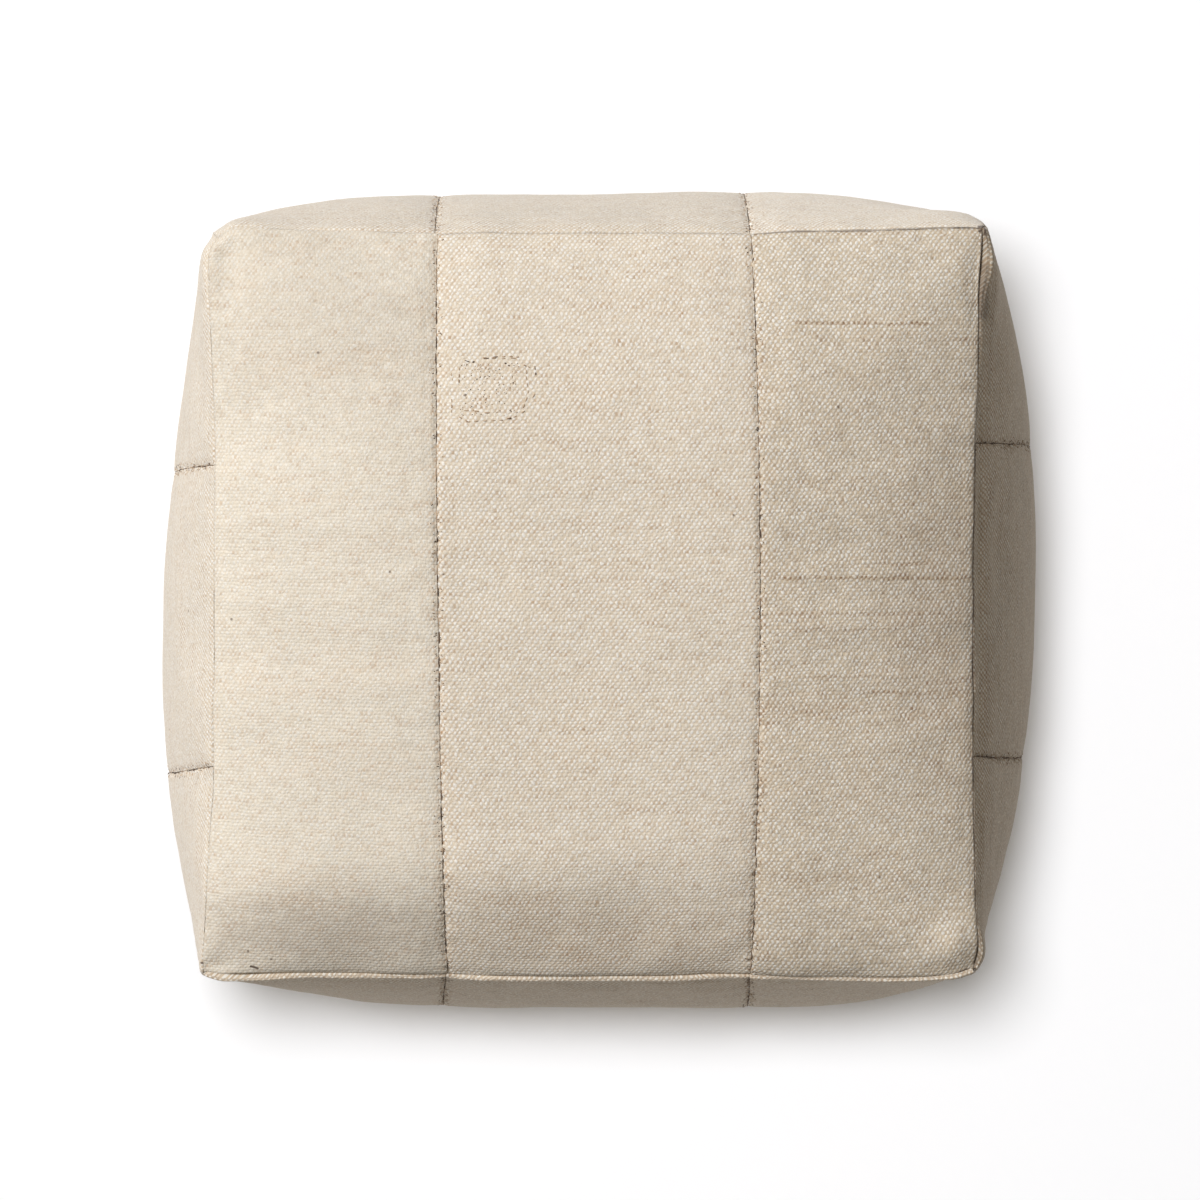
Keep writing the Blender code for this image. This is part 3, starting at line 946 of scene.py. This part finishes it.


# How dark the painted shade shows where the cloth turns into its seams: at the strip's start and end,
# and at its low and its high side.
SEAM_LINE_WIDTH = 0.0012
SEAM_LINES = {
    "top_strip_left": {"Start": 0.20, "End": 0.06, "Low": 0.08},
    "top_strip_centre": {"Start": 0.16, "End": 0.45},
    "top_strip_right": {"Start": 0.30, "End": 0.95, "High": 0.90},
    "front_strip_left": {"End": 0.16},
    "front_strip_centre": {"End": 0.12},
    "front_strip_right": {"End": 0.25},
    "back_strip_left": {"End": 0.10},
    "back_strip_centre": {"End": 0.25},
    "back_strip_right": {"End": 0.60},
    "left_strip_back": {"End": 0.10},
    "left_strip_centre": {"End": 0.10},
    "left_strip_front": {"End": 0.12},
    "right_strip_back": {"End": 0.35},
    "right_strip_centre": {"End": 0.80},
    "right_strip_front": {"End": 0.70},
}

# Painted shade of short creases where the corners are tucked in and the front edge puckers: where each
# starts, which way and how far it runs, how thick it is and how dark.
CREASE_SHADES = {
    "left_strip_front": (((-0.2268, -0.2064, 0.415), (0.0078, -0.0010, 0.0), 0.0010, 1.0),),
    "top_strip_left": (((-0.1985, -0.2082, 0.415), (0.0040, -0.0012, 0.0), 0.0010, 1.0),),
    "top_strip_right": (
        ((0.2150, 0.2088, 0.423), (0.0024, 0.0020, 0.0), 0.0012, 1.0),
        ((0.1990, -0.2130, 0.418), (0.0092, 0.0034, 0.0), 0.0009, 1.0),
    ),
    "back_strip_right": (((0.2150, 0.2116, 0.423), (0.0030, 0.0004, 0.0), 0.0014, 1.0),),
    "right_strip_back": (
        ((0.2180, 0.2110, 0.423), (0.0002, -0.0040, 0.0), 0.0013, 1.0),
        ((0.2172, 0.1880, 0.421), (0.0002, -0.0260, 0.0), 0.0050, 0.5),
    ),
}

CLOTH_LOOKS = {
    "Roughness": 0.92,
    "Specular IOR Level": 0.25,
    "Sheen Weight": 0.15,
    "Sheen Roughness": 0.6,
}

BESIDE_JOINS = beside_joins_group()
SEAM_SHADE = seam_lines_group()
CREASE_SHADE = crease_shade_group()


def new_material(name):
    """A new material, its nodes and its shader's inputs."""
    material = bpy.data.materials.new(name)
    material.use_nodes = True
    return material, Nodes(material.node_tree), material.node_tree.nodes["Principled BSDF"].inputs


def finish_material(nodes, shader, colour, settings, bump=()):
    """Links a material's colour and bump (height, strength and distance), and gives its settings."""
    nodes.tree.links.new(colour, shader["Base Color"])
    if bump:
        height, strength, distance = bump
        bumped = nodes.add("ShaderNodeBump", None, Height=height, Strength=strength, Distance=distance)
        nodes.tree.links.new(bumped.outputs["Normal"], shader["Normal"])
    for name, value in settings.items():
        shader[name].default_value = value


def cloth_material(name, tones, browning, strip, cut):
    """Handwoven cloth. Cut shifts the weave's chances, so that no two strips are alike."""
    node_name, width = strip["name"], strip["width"]
    joins = [at for at, is_join in ((0.0, strip["number"] > 0), (width, strip["number"] < 2)) if is_join]
    material, nodes, shader = new_material(name)
    on_cloth = nodes.add("ShaderNodeUVMap", {"uv_map": "cloth"}).outputs["UV"]
    elsewhere = (cut, cut * 0.7, 0)
    place = nodes.add("ShaderNodeMapping", None, Vector=on_cloth, Location=elsewhere).outputs["Vector"]
    on_pouf = nodes.add("ShaderNodeTexCoord").outputs["Object"]
    patches = nodes.group(PATCHES, Place=place, Amount=browning)
    browned, painted_shade = patches["Browning"], 0.0
    for join in joins:
        beside = nodes.group(BESIDE_JOINS, Place=on_cloth, Join=join, Amount=SPECKS_BESIDE_JOINS)
        browned = nodes.plus(beside["Browning"], browned)
    # Stains, and painted shade where a patch greys the cloth.
    for middle, reach, browner, greyer in TOP_STAINS_AND_SHADE.get(node_name, ()):
        patch = nodes.group(STAIN_AND_SHADE, Place=on_pouf, Middle=(*middle, TOP_HEIGHT), Reach=(*reach, 1.0))
        browned = nodes.scaled(patch["Mask"], browner, browned)
        painted_shade = nodes.scaled(patch["Mask"], greyer, painted_shade)
    for start, end, row, strength in TOP_SLUBS.get(node_name, ()):
        slub = nodes.group(LONG_SLUB, Place=on_pouf, From=start, To=end, Row=row, Thickness=SLUB_THICKNESS)
        browned = nodes.scaled(slub["Mask"], strength, browned)
    weave = nodes.group(WEAVE, Place=place, Browning=browned, **tones)
    colour = nodes.mixed(1.0, weave["Color"], patches["Shade"], "MULTIPLY")
    # Painted shade: the greyer patches darken the cloth towards grey.
    colour = nodes.mixed(painted_shade, colour, PAINTED_SHADE_GREY)
    flecks = nodes.group(FLECKS, Place=place, Amount=0.75)
    colour = nodes.mixed(flecks["Mask"], colour, HUSK_BROWN)
    # Painted shade along the cloth's turns into its seams.
    amounts = SEAM_LINES.get(node_name)
    if amounts:
        lines = nodes.group(SEAM_SHADE, Place=on_cloth, Width=width, Length=strip["length"], **amounts)
        colour = nodes.mixed(lines["Mask"], colour, PAINTED_SHADE_BROWN)
    # Painted shade in the creases.
    for start, run, thickness, share in CREASE_SHADES.get(node_name, ()):
        line = nodes.group(CREASE_SHADE, Place=on_pouf, Start=start, Run=run, Thickness=thickness)
        colour = nodes.mixed(nodes.times(line["Mask"], share), colour, PAINTED_SHADE_BROWN)
    finish_material(nodes, shader, colour, CLOTH_LOOKS, (weave["Height"], 0.42, 0.0004))
    return material


def thread_material(name, colour, worn):
    """Spun sewing thread, matt, a little uneven along its length."""
    material, nodes, shader = new_material(name)
    place = nodes.add("ShaderNodeTexCoord").outputs["Object"]
    tone = nodes.noise(place, 260.0, 3.0, 0.6)
    mixed = nodes.mixed(nodes.between(tone, 0.35, 0.70), colour, worn)
    spun = nodes.noise(place, 1400.0, 2.0)
    finish_material(nodes, shader, mixed, {"Roughness": 0.9}, (spun, 0.6, 0.0002))
    return material


# ---------------------------------------------------------------- sewing


def sewing_stitch():
    """One stitch, a metre long and thick, to be scaled: thread that dips at its ends."""
    bpy.ops.mesh.primitive_cylinder_add(vertices=6, radius=0.5, depth=1.0, end_fill_type="TRIFAN")
    stitch = bpy.context.active_object
    stitch.name = "one_stitch"
    bpy.ops.object.mode_set(mode="EDIT")
    bpy.ops.mesh.select_all(action="SELECT")
    bpy.ops.transform.rotate(value=math.pi / 2, orient_axis="Y", center_override=(0, 0, 0))
    for place in (-0.25, 0.0, 0.25):
        bpy.ops.mesh.select_all(action="SELECT")
        bpy.ops.mesh.bisect(plane_co=(place, 0, 0), plane_no=(1, 0, 0))
    bpy.ops.object.mode_set(mode="OBJECT")
    mesh = opened(stitch)
    for vertex in mesh.verts:
        end = abs(vertex.co.x) * 2
        thin = 1 - 0.55 * end**3
        vertex.co.y *= thin
        vertex.co.z = vertex.co.z * thin - 0.95 * end**2.5
    write_back(mesh, stitch.data)
    stitch.data.shade_smooth()
    return stitch


def join_line(strip, at_far_side):
    """The strip's edge at a join: its places from start to end."""
    on_cloth = places_on_cloth(strip["object"].data)
    at_edge = np.abs(on_cloth[:, 0] - (strip["width"] if at_far_side else 0.0)) < ON_EDGE
    order = np.argsort(on_cloth[at_edge, 1])
    return points_of(strip["object"].data)[at_edge][order]


def distances_along(line):
    """How far each place of a line is from its start."""
    return np.concatenate([[0], np.cumsum(np.linalg.norm(np.diff(line, axis=0), axis=1))])


class Sewing:
    """Stitches laid on the cloth, gathered into one mesh for each thread."""

    def __init__(self, stitch):
        self.stitch = stitch
        self.meshes = {}

    def lay(self, thread, place, direction, outward, length, thick, height):
        """Lays one stitch of a thread on the cloth."""
        outward = Vector(outward).normalized()
        direction = Vector(direction)
        direction = (direction - outward * direction.dot(outward)).normalized()
        side = outward.cross(direction)
        turn = Matrix((direction, side, outward)).transposed().to_4x4()
        size = Matrix.Diagonal((length, thick, height, 1))
        copy = self.stitch.data.copy()
        copy.transform(Matrix.Translation(Vector(place)) @ turn @ size)
        self.meshes.setdefault(thread, bmesh.new()).from_mesh(copy)
        bpy.data.meshes.remove(copy)

    def finish(self, names, materials):
        """Makes one piece of each thread's stitches."""
        for thread, mesh in self.meshes.items():
            for vertex in mesh.verts:
                vertex.co.z = max(vertex.co.z, 0.0)
            data = bpy.data.meshes.new(names[thread])
            write_back(mesh, data)
            piece = put_in_scene(names[thread], data)
            piece.data.materials.append(materials[thread])
            piece.data.shade_smooth()
            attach(piece, "root")
        self.meshes = {}


def sew_join(sewing, left, right, chance):
    """Sews two strips edge to edge, with running stitches and clusters of slanted whip stitches."""
    line, other = join_line(left, True), join_line(right, False)
    at, other_at = distances_along(line), distances_along(other)
    other_at *= at[-1] / other_at[-1]

    def middle(distance):
        first = [np.interp(distance, at, line[:, axis]) for axis in range(3)]
        second = [np.interp(distance, other_at, other[:, axis]) for axis in range(3)]
        return (Vector(first) + Vector(second)) / 2

    def directions(distance):
        here = middle(distance)
        run = (middle(distance + 0.002) - middle(distance - 0.002)).normalized()
        _, _, out_left, _ = left["object"].closest_point_on_mesh(here)
        _, _, out_right, _ = right["object"].closest_point_on_mesh(here)
        outward = (Vector(out_left) + Vector(out_right)).normalized()
        return here, run, outward, run.cross(outward)

    distance = 0.0035
    while distance < at[-1] - 0.006:
        length = min(chance.triangular(*RUNNING_STITCH), at[-1] - 0.003 - distance)
        here, run, outward, side = directions(distance + length / 2)
        thread = "dark" if chance.random() < RUNNING_DARK_SHARE else "brown"
        thick = chance.uniform(*RUNNING_THICKNESS)
        place = here + side * chance.gauss(0, 0.00022) + outward * chance.uniform(0.00005, 0.00035)
        lean = run + side * chance.gauss(0, 0.05)
        sewing.lay(thread, place, lean, outward, length, thick, thick * 0.75)
        distance += length + chance.triangular(*RUNNING_GAP)

    distance = 0.004
    while distance < at[-1] - 0.002:
        here, run, outward, side = directions(distance)
        crowded = distance < CROWDED_END if left["panel"] == "top" else distance > at[-1] - CROWDED_END
        for _ in range(chance.choice(WHIPS_CROWDED if crowded else WHIPS_IN_CLUSTER)):
            which, strip = chance.choice(((-1, left), (1, right)))
            reach = which * chance.triangular(*WHIP_REACH)
            aim = here + side * reach + run * chance.gauss(0, 0.0016)
            _, found, normal, _ = strip["object"].closest_point_on_mesh(aim)
            found, normal = Vector(found), Vector(normal)
            slant = side * which + run * chance.uniform(-1.1, 0.6)
            size = chance.triangular(*WHIP_STITCH)
            thread = "dark" if chance.random() < WHIP_DARK_SHARE else "brown"
            thin = chance.uniform(*WHIP_THICKNESS)
            sewing.lay(thread, found + normal * 0.0001, slant, normal, size, thin, thin * 0.8)
        distance += chance.triangular(*WHIP_SPACING)


# Darn: rows of running stitches on the top, from one place to another in millimetres across
# and along the top, how many, and of which thread. Single stitches are rows of one.
DARN_ROWS = (
    ((-76.4, 134.0), (-71.2, 132.6), 1, "dark"),
    ((-71.8, 133.0), (-69.4, 133.4), 1, "dark"),
    ((-66.0, 134.6), (-56.0, 136.2), 2, "dark"),
    ((-55.6, 136.4), (-44.0, 135.8), 3, "brown"),
    ((-66.8, 135.4), (-46.0, 135.0), 4, "brown"),
    ((-43.0, 131.6), (-38.4, 129.4), 2, "brown"),
    ((-36.6, 131.0), (-35.8, 124.6), 2, "dark"),
    ((-41.2, 129.0), (-40.2, 114.6), 4, "brown"),
    ((-40.6, 113.8), (-43.4, 106.4), 2, "brown"),
    ((-36.0, 116.6), (-38.4, 111.4), 1, "brown"),
    ((-41.6, 106.6), (-45.0, 103.4), 1, "brown"),
    ((-45.6, 102.6), (-57.0, 100.2), 3, "brown"),
    ((-48.0, 102.0), (-54.0, 100.8), 1, "dark"),
    ((-57.6, 100.4), (-76.0, 99.4), 4, "brown"),
    ((-79.4, 102.8), (-73.0, 99.0), 2, "brown"),
    ((-77.0, 106.2), (-60.0, 104.4), 3, "brown"),
    ((-83.2, 127.0), (-82.4, 122.0), 2, "brown"),
    ((-82.6, 112.8), (-83.0, 103.6), 3, "brown"),
    ((-78.6, 130.4), (-78.8, 120.4), 3, "brown"),
    ((-53.6, 132.8), (-50.2, 130.6), 2, "dark"),
)
# Inside the darn, short slanted stitches lie in rows that rise to the right.
DARN_INSIDE = {"left": -79.0, "right": -46.0, "low": 102.0, "high": 132.0, "count": 150}
DARN_ROW_THICKNESS = (0.00045, 0.00085)
DARN_INSIDE_THICKNESS = (0.00030, 0.00055)
DARN_INSIDE_LENGTH = (0.4, 1.5, 0.7)
DARN_INSIDE_SLANT = (0.2, 1.3)
DARN_INSIDE_DARK_SHARE = 0.38


def sew_darn(sewing, strip, chance):
    """Darns the top: running stitches round a worn place and short slanted ones across it."""

    def lay(thread, start, end, thick):
        middle = (Vector(start) + Vector(end)) / 2000
        _, found, normal, _ = strip["object"].ray_cast((middle.x, middle.y, 1.0), (0, 0, -1))
        run = Vector((end[0] - start[0], end[1] - start[1], 0)) / 1000
        place = Vector(found) + Vector(normal) * thick * 0.3
        sewing.lay(thread, place, run, normal, run.length, thick, thick * 0.8)

    for row_start, row_end, stitches, thread in DARN_ROWS:
        start, end = Vector(row_start), Vector(row_end)
        for number in range(stitches):
            first = start.lerp(end, (number + chance.uniform(0.02, 0.14)) / stitches)
            last = start.lerp(end, (number + chance.uniform(0.72, 0.92)) / stitches)
            first += Vector((chance.gauss(0, 0.25), chance.gauss(0, 0.25)))
            lay(thread, first, last, chance.uniform(*DARN_ROW_THICKNESS))
    for _ in range(DARN_INSIDE["count"]):
        across = chance.uniform(DARN_INSIDE["left"], DARN_INSIDE["right"])
        along = chance.uniform(DARN_INSIDE["low"], DARN_INSIDE["high"])
        size = chance.triangular(*DARN_INSIDE_LENGTH)
        slant = chance.uniform(*DARN_INSIDE_SLANT)
        thread = "dark" if chance.random() < DARN_INSIDE_DARK_SHARE else "brown"
        start = Vector((across, along))
        end = start + Vector((math.cos(slant), math.sin(slant))) * size
        lay(thread, start, end, chance.uniform(*DARN_INSIDE_THICKNESS))


# ---------------------------------------------------------------- making the pouf


def tones_of(warp, weft, brown, relief):
    """The colours of one strip's threads, and how strongly its weave stands out."""
    return {"Warp": (*warp, 1), "Weft": (*weft, 1), "Brown": (*brown, 1), "Relief": relief}


CREAM = tones_of((0.745, 0.712, 0.650), (0.612, 0.520, 0.392), (0.37, 0.225, 0.120), 0.95)
PALE = tones_of((0.690, 0.655, 0.587), (0.625, 0.548, 0.428), (0.43, 0.280, 0.165), 0.64)
BROWNER = tones_of((0.705, 0.675, 0.612), (0.515, 0.418, 0.292), (0.26, 0.155, 0.085), 1.0)
# Painted shade: a darker, browner copy of the cloth for the right side, which is turned from the light.
RIGHT_SIDE_PAINTED_SHADE = tones_of((0.650, 0.600, 0.505), (0.440, 0.335, 0.225), (0.22, 0.135, 0.075), 1.2)
LEVEL = tones_of((0.732, 0.699, 0.637), (0.600, 0.509, 0.383), (0.36, 0.220, 0.117), 0.95)
# Painted light: a lighter copy of the cream cloth for the back's right strip.
BACK_RIGHT_PAINTED_LIGHT = tones_of((0.790, 0.757, 0.695), (0.655, 0.560, 0.428), (0.39, 0.240, 0.130), 0.95)
# Painted shade: a darker, browner copy of the cloth for the front side, which faces away from the light.
FRONT_PAINTED_SHADE = tones_of((0.770, 0.724, 0.637), (0.566, 0.454, 0.326), (0.28, 0.170, 0.095), 1.2)
TONES = {
    "top_strip_left": PALE,
    "top_strip_centre": LEVEL,
    "top_strip_right": BROWNER,
    "back_strip_right": BACK_RIGHT_PAINTED_LIGHT,
    "right_strip_front": RIGHT_SIDE_PAINTED_SHADE,
    "right_strip_centre": RIGHT_SIDE_PAINTED_SHADE,
    "right_strip_back": RIGHT_SIDE_PAINTED_SHADE,
    "front_strip_left": FRONT_PAINTED_SHADE,
    "front_strip_centre": FRONT_PAINTED_SHADE,
    "front_strip_right": FRONT_PAINTED_SHADE,
}
# How much of the weft is browned: on the plain strips, and on the browner ones.
BROWNING = (0.52, 0.85)
BROWNER_STRIPS = {"top_strip_right", "right_strip_front", "right_strip_centre", "right_strip_back"}
# The first colour below is painted shade for the creases and the seams' turns, and the last is painted
# shade for the greyer patches; the husk brown is the cloth's own.
PAINTED_SHADE_BROWN = (0.115, 0.080, 0.056, 1)
HUSK_BROWN = (0.12, 0.075, 0.05, 1)
PAINTED_SHADE_GREY = (0.20, 0.19, 0.17, 1)

strips = {}
for panel_name, panel in PANELS.items():
    for number, side_name in enumerate(panel["strips"]):
        node_name = f"{panel_name}_strip_{side_name}"
        piece, width, length = cloth_copy(node_name, panel)
        strips[node_name] = dict(
            name=node_name, object=piece, width=width, length=length, panel=panel_name, number=number
        )

folds = settled_folds([strip["object"] for strip in strips.values()])

for seed, strip in enumerate(strips.values()):
    piece = strip["object"]
    finish_with(
        piece,
        "SUBSURF",
        levels=ROUNDING_LEVELS,
        render_levels=ROUNDING_LEVELS,
        boundary_smooth="PRESERVE_CORNERS",
        uv_smooth="PRESERVE_BOUNDARIES",
    )
    share = SETTLED_SHARE[strip["panel"]]
    if folds and share:
        settle(piece, *folds, share)
    if strip["panel"] != "base":
        cut_finer_rows(piece, FINEST_ROW)
        shape_by_hand(piece)
        draw_in(piece, strip["number"], strip["width"], strip["length"], 100 * seed)
        meet_neighbours(piece, strip)

bpy.context.view_layer.update()
THREADS = {
    "dark": thread_material("dark_thread", (0.062, 0.038, 0.026, 1), (0.19, 0.120, 0.075, 1)),
    "brown": thread_material("brown_thread", (0.33, 0.22, 0.14, 1), (0.50, 0.38, 0.26, 1)),
}
stitch = sewing_stitch()
sewing = Sewing(stitch)
chance = random.Random(SEWING_SEED)
for panel_name, panel in PANELS.items():
    names = [f"{panel_name}_strip_{side}" for side in panel["strips"]]
    for first, second in zip(names, names[1:]):
        sew_join(sewing, strips[first], strips[second], chance)
    if panel_name == "top":
        sew_darn(sewing, strips["top_strip_centre"], chance)
    sewing.finish({"dark": f"{panel_name}_join_thread", "brown": f"{panel_name}_whip_thread"}, THREADS)
bpy.data.objects.remove(stitch)

for number, (node_name, strip) in enumerate(strips.items()):
    piece = strip["object"]
    back_with_filling(piece)
    piece.data.shade_smooth()
    piece.data.set_sharp_from_angle(angle=math.radians(60))
    tones = TONES.get(node_name, CREAM)
    browning = BROWNING[node_name in BROWNER_STRIPS]
    material = cloth_material(f"{node_name}_weave", tones, browning, strip, cut=0.37 * number)
    piece.data.materials.clear()
    piece.data.materials.append(material)
    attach(piece, "root")
    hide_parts(node_name)

# ---------------------------------------------------------------- floor, light and camera

bpy.ops.mesh.primitive_plane_add(size=12.0, location=(0, 0, 0))
floor = bpy.context.active_object
floor.name = "floor"
floor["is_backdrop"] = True

# The floor looks white, and throws only part of its light back at the pouf.
floor_paint, floor_nodes, floor_shader = new_material("pale_floor")
seen = floor_nodes.add("ShaderNodeLightPath").outputs["Is Camera Ray"]
floor_colour = floor_nodes.mixed(seen, (0.85, 0.85, 0.85, 1), (0.94, 0.94, 0.94, 1))
finish_material(floor_nodes, floor_shader, floor_colour, {"Roughness": 0.9, "Specular IOR Level": 0.1})
floor.data.materials.append(floor_paint)

world = bpy.data.worlds.new("studio")
bpy.context.scene.world = world
world.use_nodes = True
# The room is warm, and lighter on the window's side.
sky = Nodes(world.node_tree)
looking = sky.add("ShaderNodeTexCoord").outputs["Generated"]
window_side = sky.vector("DOT_PRODUCT", looking, (-0.80, 0.50, 0.0), "Value")
room_light = sky.scaled(window_side, 0.11, 0.24)
room = world.node_tree.nodes["Background"].inputs
world.node_tree.links.new(room_light, room["Strength"])
room["Color"].default_value = (1.0, 0.93, 0.82, 1)


def soft_light(name, place, aim, size, power, colour, lit):
    """A large soft lamp that points at a place and lights these objects."""
    lamp = bpy.data.lights.new(name, "AREA")
    lamp.shape = "DISK"
    lamp.size = size
    lamp.energy = power
    lamp.color = colour
    holder = put_in_scene(name, lamp)
    holder.location = place
    holder.rotation_mode = "QUATERNION"
    holder.rotation_quaternion = (Vector(aim) - Vector(place)).to_track_quat("-Z", "Y")
    holder.visible_camera = False
    group = bpy.data.collections.new(f"{name}_lights")
    for piece in lit:
        group.objects.link(piece)
    holder.light_linking.receiver_collection = group


pouf = list(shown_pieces())
soft_light("window", (-2.98, 2.32, 5.11), (0, 0, 0.35), 2.60, 435, (0.985, 1.0, 1.035), pouf)
soft_light("floor_window", (-0.18, 0.20, 3.40), (0, 0, 0), 0.50, 71, (0.985, 1.0, 1.04), [floor])
soft_light("floor_overhead", (-0.10, 0.12, 3.40), (0, 0, 0), 0.40, 31, (0.985, 1.0, 1.04), [floor])

camera_data = bpy.data.cameras.new("from_above")
camera_data.sensor_width = 36
camera_data.lens = CAMERA_LENS
camera = put_in_scene("from_above", camera_data)
camera.location = (0, 0, CAMERA_HEIGHT)
bpy.context.scene.camera = camera
bpy.context.scene.view_settings.view_transform = "Standard"
